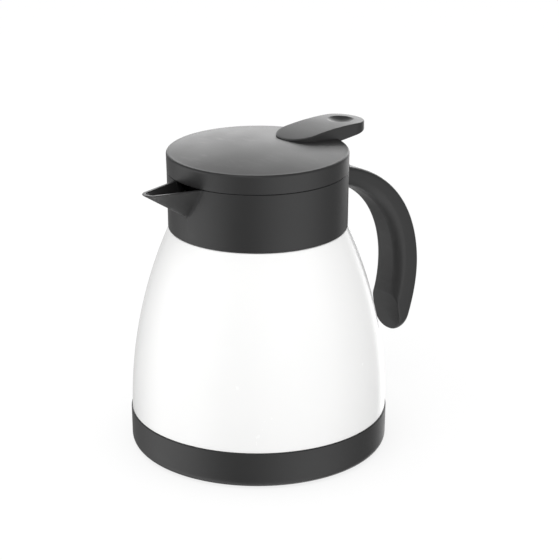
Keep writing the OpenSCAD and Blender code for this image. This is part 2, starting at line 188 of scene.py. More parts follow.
def newGroup(name, inputs, outputs):
    group = bpy.data.node_groups.new(name, "ShaderNodeTree")
    for label, kind, value in inputs:
        socket = group.interface.new_socket(name=label, in_out="INPUT", socket_type=kind)
        if value is not None:
            socket.default_value = value
    for label, kind in outputs:
        group.interface.new_socket(name=label, in_out="OUTPUT", socket_type=kind)
    return group, addNode(group, "NodeGroupInput"), addNode(group, "NodeGroupOutput")


number, arrow = "NodeSocketFloat", "NodeSocketVector"


# Grain of a spark-eroded mould: fine noise plus small pits; Shade is a slow cloud from 0 to 1.
def makeMouldGrain():
    g, inp, out = newGroup("mouldGrain", [("Vector", arrow, None), ("Scale", number, 2600.0)],
                           [("Height", number), ("Shade", number)])
    fine = addNode(g, "ShaderNodeTexNoise", Detail=3.0, Roughness=0.6)
    pits = addNode(g, "ShaderNodeTexVoronoi", feature="SMOOTH_F1")
    slow = addNode(g, "ShaderNodeTexNoise", Scale=38.0, Detail=2.0, Roughness=0.45)
    add = addNode(g, "ShaderNodeMath", operation="MULTIPLY_ADD")
    add.inputs[1].default_value = 0.45
    for node in (fine, pits, slow):
        wire(g, inp, "Vector", node, "Vector")
    for node in (fine, pits):
        wire(g, inp, "Scale", node, "Scale")
    wire(g, pits, "Distance", add, 0)
    wire(g, fine, "Fac", add, 2)
    wire(g, add, 0, out, "Height")
    wire(g, slow, "Fac", out, "Shade")
    return g


# Faint marks of handling: two stretched noises multiplied and cut off below, 0 for clean and 1 for rubbed.
def makeRubMarks():
    g, inp, out = newGroup("rubMarks", [("Vector", arrow, None), ("Scale", number, 60.0), ("From", number, 0.3)],
                           [("Mask", number)])
    turnMap = addNode(g, "ShaderNodeMapping", Rotation=(0.4, 0.2, 0.9), Scale=(1.0, 0.22, 0.6))
    wide = addNode(g, "ShaderNodeTexNoise", Detail=4.0, Roughness=0.62)
    thin = addNode(g, "ShaderNodeTexNoise", Detail=2.0, Roughness=0.5)
    more = addNode(g, "ShaderNodeMath", operation="MULTIPLY")
    more.inputs[1].default_value = 7.0
    both = addNode(g, "ShaderNodeMath", operation="MULTIPLY")
    cut = addNode(g, "ShaderNodeMapRange")
    cut.inputs["From Max"].default_value = 0.5
    wire(g, inp, "Vector", turnMap, "Vector")
    wire(g, inp, "Vector", wide, "Vector")
    wire(g, turnMap, 0, thin, "Vector")
    wire(g, inp, "Scale", wide, "Scale")
    wire(g, inp, "Scale", more, 0)
    wire(g, more, 0, thin, "Scale")
    wire(g, wide, "Fac", both, 0)
    wire(g, thin, "Fac", both, 1)
    wire(g, both, 0, cut, "Value")
    wire(g, inp, "From", cut, "From Min")
    wire(g, cut, 0, out, "Mask")
    return g


# Lines left by turning and brushing round the Z axis: noise over (distance from the axis, height, a little angle).
def makeTurnedLines():
    settings = [("Vector", arrow, None), ("Density", number, 1800.0), ("Length", number, 9.0)]
    g, inp, out = newGroup("turnedLines", settings, [("Height", number), ("Streak", number)])
    split = addNode(g, "ShaderNodeSeparateXYZ")
    flat = addNode(g, "ShaderNodeCombineXYZ")
    radius = addNode(g, "ShaderNodeVectorMath", operation="LENGTH")
    angle = addNode(g, "ShaderNodeMath", operation="ARCTAN2")
    across = addNode(g, "ShaderNodeMath", operation="MULTIPLY")
    up = addNode(g, "ShaderNodeMath", operation="MULTIPLY")
    along = addNode(g, "ShaderNodeMath", operation="MULTIPLY")
    join = addNode(g, "ShaderNodeCombineXYZ")
    lines = addNode(g, "ShaderNodeTexNoise", Scale=1.0, Detail=4.0, Roughness=0.7)
    bands = addNode(g, "ShaderNodeTexNoise", Scale=0.07, Detail=2.0, Roughness=0.5)
    wire(g, inp, "Vector", split, 0)
    wire(g, split, "X", flat, "X")
    wire(g, split, "Y", flat, "Y")
    wire(g, flat, 0, radius, 0)
    wire(g, split, "Y", angle, 0)
    wire(g, split, "X", angle, 1)
    for value, node, factor in ((radius.outputs["Value"], across, "Density"), (split.outputs["Z"], up, "Density"),
                                (angle.outputs[0], along, "Length")):
        g.links.new(value, node.inputs[0])
        wire(g, inp, factor, node, 1)
    for socket, node in zip("XYZ", (across, up, along)):
        wire(g, node, 0, join, socket)
    for noise, socket in ((lines, "Height"), (bands, "Streak")):
        wire(g, join, 0, noise, "Vector")
        wire(g, noise, "Fac", out, socket)
    return g


mouldGrain, rubMarks, turnedLines = makeMouldGrain(), makeRubMarks(), makeTurnedLines()


# Material from one settings dict: colour runs from dark to light with the slow cloud, roughness between two values
# with the cloud and the rub marks, and the grain is a bump of the given depth in metres.
def finish(name, s):
    material = bpy.data.materials.new(name)
    material.use_nodes = True
    tree = material.node_tree
    shader = tree.nodes["Principled BSDF"]
    where = addNode(tree, "ShaderNodeTexCoord")
    grain = addNode(tree, "ShaderNodeGroup", node_tree=s.get("group", mouldGrain))
    marks = addNode(tree, "ShaderNodeGroup", node_tree=rubMarks)
    for node in (grain, marks):
        wire(tree, where, "Object", node, "Vector")
    marks.inputs["Scale"].default_value = s.get("markScale", 60.0)
    marks.inputs["From"].default_value = s.get("markFrom", 0.3)
    cloud = grain.outputs["Streak" if s.get("group") == turnedLines else "Shade"]
    if s.get("group") == turnedLines:
        grain.inputs["Density"].default_value = s["grainScale"]
    else:
        grain.inputs["Scale"].default_value = s["grainScale"]
    tint = addNode(tree, "ShaderNodeMix", data_type="RGBA")
    tint.inputs["A"].default_value = (*s["dark"], 1)
    tint.inputs["B"].default_value = (*s["light"], 1)
    tree.links.new(cloud, tint.inputs["Factor"])
    wire(tree, tint, "Result", shader, "Base Color")
    spread = addNode(tree, "ShaderNodeMapRange")
    spread.inputs["From Min"].default_value = 0.3
    spread.inputs["From Max"].default_value = 0.7
    spread.inputs["To Min"].default_value = s["rough"][0]
    spread.inputs["To Max"].default_value = s["rough"][1]
    rubbed = addNode(tree, "ShaderNodeMath", operation="MULTIPLY_ADD")
    rubbed.inputs[1].default_value = s.get("markRough", -0.05)
    tree.links.new(cloud, spread.inputs["Value"])
    wire(tree, marks, "Mask", rubbed, 0)
    wire(tree, spread, 0, rubbed, 2)
    wire(tree, rubbed, 0, shader, "Roughness")
    bump = addNode(tree, "ShaderNodeBump", Strength=s.get("bump", 0.5), Distance=s["depth"])
    wire(tree, grain, "Height", bump, "Height")
    wire(tree, bump, "Normal", shader, "Normal")
    shader.inputs["Metallic"].default_value = s.get("metallic", 0.0)
    shader.inputs["Specular IOR Level"].default_value = s.get("specular", 0.5)
    shader.inputs["Coat Weight"].default_value = s.get("coat", 0.0)
    shader.inputs["Coat Roughness"].default_value = s.get("coatRough", 0.04)
    material.diffuse_color = (*s["light"], 1)
    return material


finishes = {
    "glossWhitePaint": dict(dark=(0.92, 0.92, 0.915), light=(0.935, 0.935, 0.93), rough=(0.2, 0.26), grainScale=420.0,
                            depth=0.00001, bump=0.25, coat=0.15, coatRough=0.1, markRough=0.04),
    "satinBlackCollar": dict(dark=(0.0115, 0.0115, 0.0117), light=(0.0135, 0.0135, 0.0138), rough=(0.4, 0.46),
                             grainScale=2600.0, depth=0.00003, specular=0.4),
    "satinBlackLid": dict(dark=(0.012, 0.012, 0.0122), light=(0.0145, 0.0145, 0.0148), rough=(0.4, 0.45),
                          grainScale=2300.0, depth=0.00003, specular=0.42),
    "satinBlackHandle": dict(dark=(0.0115, 0.0115, 0.0117), light=(0.014, 0.014, 0.0142), rough=(0.4, 0.46),
                             grainScale=2400.0, depth=0.00004, specular=0.4, markFrom=0.27),
    "satinBlackBase": dict(dark=(0.0115, 0.0115, 0.0117), light=(0.014, 0.014, 0.0142), rough=(0.4, 0.46),
                           grainScale=2500.0, depth=0.00003, specular=0.4, markScale=45.0),
    "greyPlugPlastic": dict(dark=(0.045, 0.045, 0.047), light=(0.058, 0.058, 0.06), rough=(0.33, 0.4),
                            grainScale=1900.0, depth=0.00003),
    "brushedFlaskSteel": dict(dark=(0.52, 0.52, 0.53), light=(0.7, 0.7, 0.71), rough=(0.24, 0.34), group=turnedLines,
                              grainScale=2600.0, depth=0.00002, bump=0.35, metallic=1.0, markRough=0.06),
    "rolledShellSteel": dict(dark=(0.45, 0.45, 0.46), light=(0.6, 0.6, 0.61), rough=(0.34, 0.44), group=turnedLines,
                             grainScale=1500.0, depth=0.00003, metallic=1.0),
    "getterAlloy": dict(dark=(0.2, 0.2, 0.21), light=(0.3, 0.3, 0.31), rough=(0.6, 0.75), grainScale=1400.0,
                        depth=0.00008, metallic=1.0),
    "footSilicone": dict(dark=(0.017, 0.017, 0.017), light=(0.024, 0.024, 0.024), rough=(0.68, 0.8), grainScale=1300.0,
                         depth=0.00006, specular=0.35),
    "sealSilicone": dict(dark=(0.66, 0.66, 0.64), light=(0.74, 0.74, 0.72), rough=(0.42, 0.52), grainScale=900.0,
                         depth=0.00003),
    "screwSteel": dict(dark=(0.55, 0.55, 0.56), light=(0.7, 0.7, 0.71), rough=(0.2, 0.32), grainScale=3500.0,
                       depth=0.00002, metallic=1.0, markScale=300.0),
    "closedFoam": dict(dark=(0.7, 0.68, 0.62), light=(0.82, 0.8, 0.74), rough=(0.8, 0.92), grainScale=900.0,
                       depth=0.00025, bump=0.8),
}
look = {name: finish(name, values) for name, values in finishes.items()}
print("materials:", len(look))


# Body: painted shell, steel flask, base cup and foot

wall = dict(baseRadius=65.4, arcRadius=236.0, ledge=19.5, top=115.7, tuckBase=63.8, tuckTop=42.6, bottom=4.2,
            shoulder=117.5, shoulderHeight=7.0, neck=37.0, neckTop=133.0, sheet=0.6)


# Radius of the painted body at height z: a circle arc that is upright at the ledge and leans in above it.
def bodyRadius(z):
    return wall["baseRadius"] - wall["arcRadius"] + np.sqrt(wall["arcRadius"] ** 2 - (z - wall["ledge"]) ** 2)


# Quarter ellipse from (r0 + a, z0) to (r0, z0 + b), as rows of (radius, height, 0)
def quarter(r0, z0, a, b, steps=14):
    t = np.linspace(0, np.pi / 2, steps + 1)
    return np.stack([r0 + a * np.cos(t), z0 + b * np.sin(t), 0 * t], -1).tolist()


# One side of the sheet: up inside the cup, out on the ledge, up the arc, in under the collar and up the neck.
def shellSide(t):
    w = wall
    z = np.linspace(w["ledge"] + 1.5, w["top"] - 1.5, 60)
    arc = np.stack([bodyRadius(z) - t, z, 0 * z], -1).tolist()
    return ([[w["tuckBase"] - t, w["bottom"], 0], [w["tuckBase"] - t, w["ledge"] + t, 0.2],
             [w["baseRadius"] - t, w["ledge"] + t, 0.12]] + arc
            + [[bodyRadius(w["top"]) - t, w["top"] - t, 0.5], [w["tuckTop"] - t, w["top"] - t, 0.2]]
            + quarter(w["neck"] - t, w["shoulder"], w["tuckTop"] - w["neck"], w["shoulderHeight"])
            + [[w["neck"] - t, w["neckTop"], 0]])


outside = roundedLine(shellSide(0))
inside = roundedLine(shellSide(wall["sheet"]))
makePiece("paintedShell", [turned(np.vstack([outside, inside[::-1]]), 240)], look["glossWhitePaint"], "body",
          ("outer_shell",))

flask = dict(gap=5.6, sheet=0.5, floor=13.0, floorRise=1.5, corner=26.0, cornerRadius=46.0, shoulder=112.0,
             shoulderHeight=10.0, mouth=35.0, rimOut=37.0, rimTop=133.5, weldDepth=0.12, weldWidth=0.5)


# The flask's wall follows the body's arc one jacket gap further in; the weld is a shallow ring, a bell curve of z.
def flaskSide(t):
    f = flask
    r = np.linspace(0, f["cornerRadius"], 20)
    floor = np.stack([r, f["floor"] + t + f["floorRise"] * (1 - (r / f["cornerRadius"]) ** 2), 0 * r], -1).tolist()
    a = bodyRadius(f["corner"]) - f["gap"] - f["cornerRadius"] - t
    turnUp = quarter(f["cornerRadius"], f["corner"], a, f["floor"] - f["corner"] + t, 18)[::-1][1:]
    z = np.concatenate([np.linspace(f["corner"] + 0.15, f["corner"] + 1.5, 10),
                        np.linspace(f["corner"] + 2, f["shoulder"] - 0.4, 44)])
    weld = f["weldDepth"] * np.exp(-((z - f["corner"] - 0.7) / f["weldWidth"]) ** 2)
    side = np.stack([bodyRadius(z) - f["gap"] - t - weld, z, 0 * z], -1).tolist()
    neckRadius = f["mouth"] + f["sheet"]
    drawnIn = bodyRadius(f["shoulder"]) - f["gap"] - neckRadius
    neckIn = quarter(neckRadius - t, f["shoulder"], drawnIn, f["shoulderHeight"], 18)
    return floor + turnUp + side + neckIn


f = flask
rimLine = [[f["mouth"] + f["sheet"], f["rimTop"] - f["sheet"], 0.15], [f["rimOut"], f["rimTop"] - f["sheet"], 0.2],
           [f["rimOut"], f["rimTop"], 0.24], [f["mouth"], f["rimTop"], 0.3]]
flaskLine = roundedLine(flaskSide(0) + rimLine + flaskSide(f["sheet"])[::-1], 5)
makePiece("steelFlask", [turned(flaskLine, 220)], look["brushedFlaskSteel"], "body",
          ("flask_floor", "flask_wall", "flask_neck"))

cup = dict(topRadius=66.0, height=19.4, wall=2.2, draft=0.2, edge=4.3, rise=0.4, floorTop=2.8, footRadius=57.0,
           footTop=1.8, lip=0.6)
c = cup
makePiece("baseCup", [turned(roundedLine([
    [0, c["footTop"], 0], [c["footRadius"] + 0.05, c["footTop"], 0.1], [c["footRadius"] + 0.05, c["rise"], 0.3],
    [c["topRadius"] - c["draft"], c["rise"], c["edge"]], [c["topRadius"], c["height"], c["lip"]],
    [c["topRadius"] - c["wall"], c["height"], 0.15], [c["topRadius"] - c["wall"], c["floorTop"], 1.0],
    [0, c["floorTop"], 0]], 12), 240)], look["satinBlackBase"], "body", ("base_cup",))

foot = dict(radius=57.0, top=1.8, groove=0.6, grooveWidth=2.2, rings=(14.0, 27.0, 40.0, 50.5))
footLine = [[0, 0, 0]]
for r in foot["rings"]:                              # shallow grooves that let the pad grip a wet table
    footLine += [[r, 0, 0.25], [r, foot["groove"], 0.25], [r + foot["grooveWidth"], foot["groove"], 0.25],
                 [r + foot["grooveWidth"], 0, 0.25]]
footLine += [[foot["radius"], 0, 0.5], [foot["radius"], foot["top"], 0.1], [0, foot["top"], 0]]
makePiece("footPad", [turned(roundedLine(footLine, 4), 200)], look["footSilicone"], "body",
          ("foot_pad",))


# Collar with spout and hinge ears

ring = dict(low=115.9, top=145.3, lowRadius=45.23, topRadius=45.47, inner=42.95, floorLow=129.0, floorTop=131.5,
            floorIn=37.3, pocket=40.7, pocketHalf=11.4, pocketFloor=127.5)
spout = dict(rootX=45.35, width=21.6, reach=70.7, nose=5.0, wall=1.9, keelRoot=129.0, tipDepth=0.5, rimDrop=0.05,
             rimRise=0.35, underRoot=2.2, underTip=1.3, blunt=0.35, lip=0.38, fillet=1.2, flareOut=0.8, skinFrom=43.6,
             channelFrom=40.9)


def along(x):
    return (x - spout["rootX"]) / (spout["reach"] - spout["rootX"])


# Half the spout's width at x: straight sides that touch the nose circle, moved in by inset.
def halfWidth(x, inset):
    s = spout
    centre = s["reach"] - s["nose"]
    lean = np.arctan2(s["width"] / 2, centre - s["rootX"]) - np.arcsin(
        s["nose"] / np.hypot(centre - s["rootX"], s["width"] / 2))
    straight = s["width"] / 2 - (x - s["rootX"]) * np.tan(lean) - inset / np.cos(lean)
    radius = s["nose"] - inset
    nose = np.sqrt(np.clip(radius ** 2 - (x - centre) ** 2, 0, None))
    return np.where(x < centre + radius * np.sin(lean), straight, nose)


def rimHeight(x):
    return ring["top"] - spout["rimDrop"] + spout["rimRise"] * along(x)


def keelHeight(x):
    tip = rimHeight(spout["reach"]) - spout["tipDepth"]
    return spout["keelRoot"] + (tip - spout["keelRoot"]) * along(x)


# Cross-section of a beak: |q| with its point rounded off, 0 at the keel and 1 at the rim.
def bluntV(q):
    k = spout["blunt"]
    return (np.sqrt(q * q + k * k) - k) / (np.sqrt(1 + k * k) - k)


# Top of the collar's wall: level, except where the channel leads through it in its V.
def collarTop(x, y):
    ax = np.abs(x)
    w = halfWidth(ax, spout["wall"])
    q = np.clip(np.abs(y) / w, 0, 1)
    low = keelHeight(ax) + spout["underRoot"]
    channel = low + (rimHeight(ax) - low) * bluntV(q)
    return np.where((x < 0) & (np.abs(y) < w), np.maximum(channel, ring["floorTop"] + 0.05), ring["top"])


# The collar's section goes round the Z axis; what stands above its floor is stretched to reach collarTop.
def collarRing():
    g = ring
    section = roundedLine([
        [g["inner"], g["low"], 0.1], [g["lowRadius"], g["low"], 0.5], [g["topRadius"], g["top"], 0.3],
        [g["inner"], g["top"], 0.3], [g["inner"], g["floorTop"], 0], [g["pocket"] + 0.02, g["floorTop"], 0],
        [g["pocket"], g["floorTop"], 0], [g["floorIn"], g["floorTop"], 0.3], [g["floorIn"], g["floorLow"], 0.3],
        [g["inner"] - 0.02, g["floorLow"], 0]], 5, closed=True)
    notch = np.arcsin(np.linspace(-1.1, 1.1, 61) * (spout["width"] / 2 - spout["wall"]) / spout["rootX"])
    pocketEdge = np.radians(g["pocketHalf"]) * np.array([-1, -0.995, 0.995, 1])
    even = np.linspace(0, 2 * np.pi, 240, endpoint=False)
    angle = np.unique(np.concatenate([even, np.pi + notch, pocketEdge % (2 * np.pi)]))
    x = section[:, :1] * np.cos(angle)
    y = section[:, :1] * np.sin(angle)
    z = np.repeat(section[:, 1:], len(angle), 1)
    share = (z - g["floorTop"]) / (g["top"] - g["floorTop"])
    z = np.where(share > 0, g["floorTop"] + share * (collarTop(x, y) - g["floorTop"]), z)
    inPocket = (section[:, :1] > g["pocket"] + 0.01) & (np.abs(section[:, 1:] - g["floorTop"]) < 0.01)
    behind = np.abs((angle + np.pi) % (2 * np.pi) - np.pi) < np.radians(g["pocketHalf"]) * 0.998
    z = np.where(inPocket & behind[None], g["pocketFloor"], z)
    return skin(np.stack([x, y, z], -1), loop=True)


# One side of the spout as a grid: stations along X, and across each a V from rim to rim that ends in a round lip.
# sign 1 turns the lip inwards for the outside, -1 outwards for the channel.
def spoutSide(x, w, low, high, sign):
    lip = spout["lip"]
    q = np.linspace(-1, 1, 49)
    a = np.linspace(0, np.pi / 2, 6)[1:]
    y = w[:, None] * q
    top = (high - lip)[:, None]
    z = low[:, None] + (top - low[:, None]) * bluntV(q)
    lipY = np.maximum(w[:, None] - sign * lip * (1 - np.cos(a)), 0)
    lipZ = top + lip * np.sin(a)
    y = np.concatenate([-lipY[:, ::-1], y, lipY], 1)
    z = np.concatenate([lipZ[:, ::-1], z, lipZ], 1)
    return np.stack([-np.repeat(x[:, None], y.shape[1], 1), y, z], -1)


def spoutBody():
    s = spout
    centre = s["reach"] - s["nose"]
    theta = np.linspace(0, np.pi / 2, 30)

    def stations(first, inset):
        return np.concatenate([np.linspace(first, first + 3, 16)[:-1], np.linspace(first + 3, centre, 40)[:-1],
                               centre + (s["nose"] - inset) * np.sin(theta)])

    x = stations(s["skinFrom"], 0)
    outer = spoutSide(x, halfWidth(x, 0), keelHeight(x), rimHeight(x), 1)
    # soft root: within the fillet's reach of the collar the skin moves out by r - sqrt(r^2 - (r - d)^2)
    away = np.clip((np.hypot(outer[..., 0], outer[..., 1]) - s["rootX"]) / s["fillet"], 0, 1)
    flare = s["fillet"] * (1 - np.sqrt(1 - (1 - away) ** 2))
    share = np.clip(np.abs(outer[..., 1]) / np.maximum(halfWidth(x, 0), 0.1)[:, None], 0, 1)
    outer[..., 1] += np.sign(outer[..., 1]) * flare * share * s["flareOut"]
    outer[..., 2] -= flare * (1 - share)
    xi = stations(s["channelFrom"], s["wall"])
    under = s["underRoot"] + (s["underTip"] - s["underRoot"]) * np.clip(along(xi), 0, 1)
    inner = spoutSide(xi, halfWidth(xi, s["wall"]), keelHeight(xi) + under, rimHeight(xi), -1)
    return sheetBetween(outer, inner)


hinge = dict(x=48.5, z=139.5, earIn=6.1, earOut=11.96, earRadius=3.0, low=134.0, saddle=136.2, back=43.6, front=51.5,
             edge=0.45, overlap=0.6, knuckle=2.6, knuckleHalf=5.8)


def circleLine(x, z, radius, sides=72):
    t = np.arange(sides) * 2 * np.pi / sides
    return np.stack([x + radius * np.cos(t), z + radius * np.sin(t)], -1)


def hingeBlock():
    h = hinge
    ear = roundedLine([[h["back"], h["low"], 0.2], [h["front"], h["low"], 0.8],
                       [h["front"], h["z"] + h["earRadius"], h["earRadius"] - 0.01],
                       [h["x"] - h["earRadius"], h["z"] + h["earRadius"], h["earRadius"] - 0.01],
                       [h["x"] - h["earRadius"], h["z"] - 1, 0.3], [h["back"], h["z"] - 1, 0.2]], 10, closed=True)
    saddle = roundedLine([[h["back"], h["low"], 0.2], [h["front"], h["low"], 0.8], [h["front"], h["saddle"], 0.6],
                          [h["back"], h["saddle"], 0.2]], 6, closed=True)
    return [roundedSlab(ear, h["earIn"], h["earOut"], h["edge"]),
            roundedSlab(ear, -h["earOut"], -h["earIn"], h["edge"]),
            roundedSlab(saddle, -h["earIn"] - h["overlap"], h["earIn"] + h["overlap"], 0.05)]


makePiece("collarBody", [collarRing(), spoutBody()] + hingeBlock(), look["satinBlackCollar"], "body",
          ("collar",))


# Handle

hook = dict(outer=((46, 139.6), (94.1, 130.6), (119.8, 90.3), (96, 30.2)),
            inner=((45.5, 128.2), (84.2, 121.6), (95.8, 87.5), (88.9, 58.7)), tuck=(-3.4, 5.8), tuckFrom=0.93,
            width=20.0, corner=2.4, innerCorner=6.0, endCorner=9.6, endFrom=0.69, endEdge=0.7, endRound=0.0135,
            rootX=52.1, rootTop=133.8, coverHalf=4.8, coverFrom=0.2, coverTo=0.93, coverDepth=1.6, coverGap=0.1,
            coverEdge=0.05, seam=0.04)


# Point at u on a cubic Bezier curve with four control points.
def bezier(points, u):
    a, b, c, d = (np.array(p, float) for p in points)
    u = u[:, None]
    return (1 - u) ** 3 * a + 3 * (1 - u) ** 2 * u * b + 3 * (1 - u) * u * u * c + u ** 3 * d


def hookCurves(u):
    low = bezier(hook["inner"], u)
    tuck = np.clip((u - hook["tuckFrom"]) / (1 - hook["tuckFrom"]), 0, None) ** 2
    high = bezier(hook["outer"], u) + tuck[:, None] * np.array(hook["tuck"])
    return low, high, (high - low) / np.hypot(*(high - low).T)[:, None]


# How far the inner side falls back from the inner curve at y: 0 on its flat, then r - sqrt(r^2 - d^2) on the round.
def roundOff(y):
    r = hook["innerCorner"]
    d = np.clip(np.abs(y) - hook["width"] / 2 + r, 0, r)
    return r - np.sqrt(r * r - d * d)


# Section of the grip, as distances t along the line from inner to outer curve and y across: a rectangle with corners
# well rounded on the inner side, small and growing on the outer side, and a recess for the cover in the inner side.
def gripSection(length, large, recess, inset):
    h = hook
    half, s = h["width"] / 2, h["innerCorner"]
    angle = np.linspace(0, np.pi / 2, 15)
    one = np.ones_like(length)[:, None]
    g, n, m = large[:, None], length[:, None], inset[:, None]
    edge = h["coverHalf"] + h["seam"]
    ys, ts = [], []

    def add(y, t):
        ys.append(y * one)
        ts.append(t * one)

    flatY = np.array([[0.0, 1.6, 3.2, half - s, (half - s + edge) / 2, edge]])
    add(flatY, recess[:, None] + roundOff(flatY))
    bend = np.linspace(np.arcsin((edge - half + s) / s), np.pi / 2, 20)[None]
    add(half - s + s * np.sin(bend), s - s * np.cos(bend))
    add(half - g + g * np.cos(angle), n - g + g * np.sin(angle))
    add((half - g) * np.array([[0.6, 0.2]]), n * np.ones((1, 2)))
    y = np.concatenate(ys, 1)
    t = np.concatenate(ts, 1)
    y = np.concatenate([y, -y[:, :0:-1]], 1)
    t = np.concatenate([t, t[:, :0:-1]], 1)
    middle = n / 2                                       # the free end's edge is rounded by shrinking the last rings
    return y * (1 - m / half), middle + (t - middle) * (1 - m / middle)


def hookGrip():
    h = hook
    e = h["endEdge"]
    a = np.linspace(0, np.pi / 2, 7)
    tiny = 0.0004
    u = np.concatenate([np.linspace(-0.02, 0.16, 60), np.linspace(0.17, h["coverFrom"] - tiny, 5),
                        np.linspace(h["coverFrom"], h["coverTo"], 110), np.linspace(h["coverTo"] + tiny, 0.985, 12),
                        1 - h["endRound"] * (1 - np.sin(a))])
    inset = np.concatenate([np.zeros(len(u) - len(a)), e * (1 - np.cos(a))])
    low, high, across = hookCurves(u)
    length = np.hypot(*(high - low).T)
    grow = np.clip((u - h["endFrom"]) / (1 - h["endFrom"]), 0, None) ** 2
    large = np.minimum(h["corner"] + (h["endCorner"] - h["corner"]) * grow, length / 2)
    recess = np.where((u >= h["coverFrom"]) & (u <= h["coverTo"]), h["coverDepth"], 0.0)
    y, t = gripSection(length, large, recess, inset)
    flat = low[:, None] + across[:, None] * t[..., None]
    x, z = flat[..., 0], flat[..., 1]
    z = np.where(x < h["rootX"], np.minimum(z, h["rootTop"]), z)     # room for the hinge above the root
    return skin(np.stack([x, y, z], -1))


makePiece("hookHandle", [hookGrip()], look["satinBlackHandle"], "body", ("handle_grip",))


# Strip in the recess: a thin section that is rounded with the inner side, carried along the inner curve.
def coverStrip():
    h = hook
    tiny = 0.0006
    u = np.linspace(h["coverFrom"] + tiny, h["coverTo"] - tiny, 110)
    low, high, across = hookCurves(u)
    half, deep, edge = h["coverHalf"], h["coverDepth"] - h["coverGap"], h["coverEdge"]
    y = np.array([0, 2.5, h["width"] / 2 - h["innerCorner"], half - 0.4, half - edge, half, half])
    t = np.array([0, 0, 0, 0, 0, edge, deep]) + roundOff(y) + 0.01
    y = np.concatenate([y, -y[:0:-1]])
    t = np.concatenate([t, t[:0:-1]])
    flat = low[:, None] + across[:, None] * t[None, :, None]
    return skin(np.stack([flat[..., 0], np.repeat(y[None], len(u), 0), flat[..., 1]], -1))


makePiece("hookCover", [coverStrip()], look["satinBlackHandle"], "body", ("handle_cover",))


# Lid

lid = dict(gap=145.55, lowRadius=45.5, radius=45.7, rim=155.0, edge=1.4, rise=2.6, wall=2.0, lugHalf=5.8,
           lug=((45.9, 139.5, 0), (51.1, 139.5, 0.4), (51.1, 147.5, 1.2), (46.6, 152.3, 0.5), (44.6, 152.3, 0.3),
                (44.6, 146.3, 0.2)))                # side view of the arm that carries the knuckle: x, z, corner


# Height of the dome above its rim at distance r from the axis: a parabola.
def dome(r):
    return lid["rim"] + lid["rise"] * (1 - (r / (lid["radius"] - lid["edge"])) ** 2)


def lidShell():
    v = lid
    flat = v["radius"] - v["edge"]
    r = np.linspace(0, flat - 0.25, 48)
    top = np.stack([r, dome(r), 0 * r], -1).tolist()
    inner = v["lowRadius"] - v["wall"]
    ri = np.linspace(inner - 1.2, 0, 12)
    under = np.stack([ri, dome(ri) - v["wall"], 0 * ri], -1).tolist()
    line = roundedLine(top + [[v["radius"] - 0.01, v["rim"] + 0.05, v["edge"] * 0.9], [v["lowRadius"], v["gap"], 0.2],
                              [inner, v["gap"], 0.3], [inner, v["rim"] - v["wall"] + 0.1, 1.0]] + under, 8)
    lug = roundedLine(v["lug"], 6, closed=True)
    h = hinge
    return [turned(line, 240), roundedSlab(lug, -v["lugHalf"], v["lugHalf"], 0.4),
            roundedSlab(circleLine(h["x"], h["z"], h["knuckle"]), -h["knuckleHalf"], h["knuckleHalf"], 0.3)]


makePiece("lidCap", lidShell(), look["satinBlackLid"], "lid", ("lid_cap",))

lever = dict(nose=27.6, tail=55.8, radius=12.0, top=161.0, crown=50.0, arc=180.0, dish=6.9, dishDepth=1.8,
             dishSoft=0.14, edge=0.4, lowEdge=0.5, underX=(10.0, 42.0, 79.8), underZ=(148.0, 153.2, 157.3), sink=0.5,
             lidTop=45.2, dishRings=((0.6, 6.0, 14), (6.2, 8.2, 15)))


def leverTop(x, rho):
    v = lever
    crowned = v["top"] - v["arc"] + np.sqrt(v["arc"] ** 2 - (x - v["crown"]) ** 2)
    ball = (v["dish"] ** 2 + v["dishDepth"] ** 2) / (2 * v["dishDepth"])
    cap = np.sqrt(np.clip(ball ** 2 - rho ** 2, 0, None)) - (ball - v["dishDepth"])
    depth = np.where(rho < v["dish"], cap, (v["dish"] - rho) * v["dish"] / (ball - v["dishDepth"]))
    return crowned - (depth + np.sqrt(depth ** 2 + v["dishSoft"] ** 2)) / 2


def leverUnder(x, y):
    r = np.hypot(x, y)
    line = np.interp(x, lever["underX"], lever["underZ"])
    return np.where(r < lever["lidTop"], np.maximum(line, dome(r) - lever["sink"]), line)


